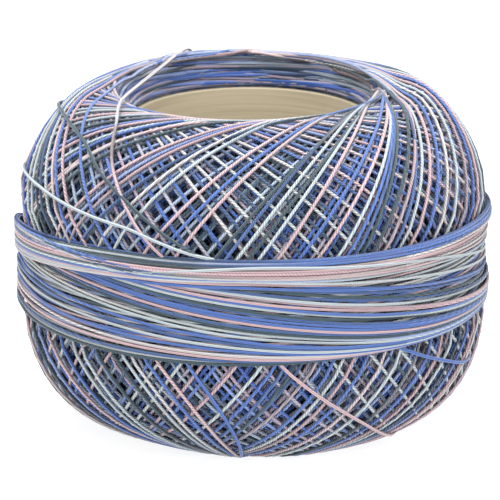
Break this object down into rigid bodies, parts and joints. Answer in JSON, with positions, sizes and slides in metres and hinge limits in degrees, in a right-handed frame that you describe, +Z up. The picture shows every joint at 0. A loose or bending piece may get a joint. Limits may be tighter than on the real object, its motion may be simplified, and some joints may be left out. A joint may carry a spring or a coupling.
{
  "type": "ball of cotton thread",
  "caption": "Ball of fine cotton crochet thread, cross-wound on a short cardboard tube with an open bore, with a band of level turns round its waist",
  "frame": {"origin": "on the floor plane, in the middle of the object's outline seen from above; the ball rests on a flat ring round the lower mouth of its bore", "axes": "+Z up along the tube, which is the object's shortest side; -Y is the side that faces the camera"},
  "size_m": [0.0632, 0.063, 0.0449],
  "materials": {
    "cotton_thread": "soft mercerised sheen, long gradual colour changes along the thread",
    "cardboard": "matt"
  },
  "bodies": {
    "root": {"thread_ball": "cotton_thread", "core_tube": "cardboard"}
  },
  "joints": []
}
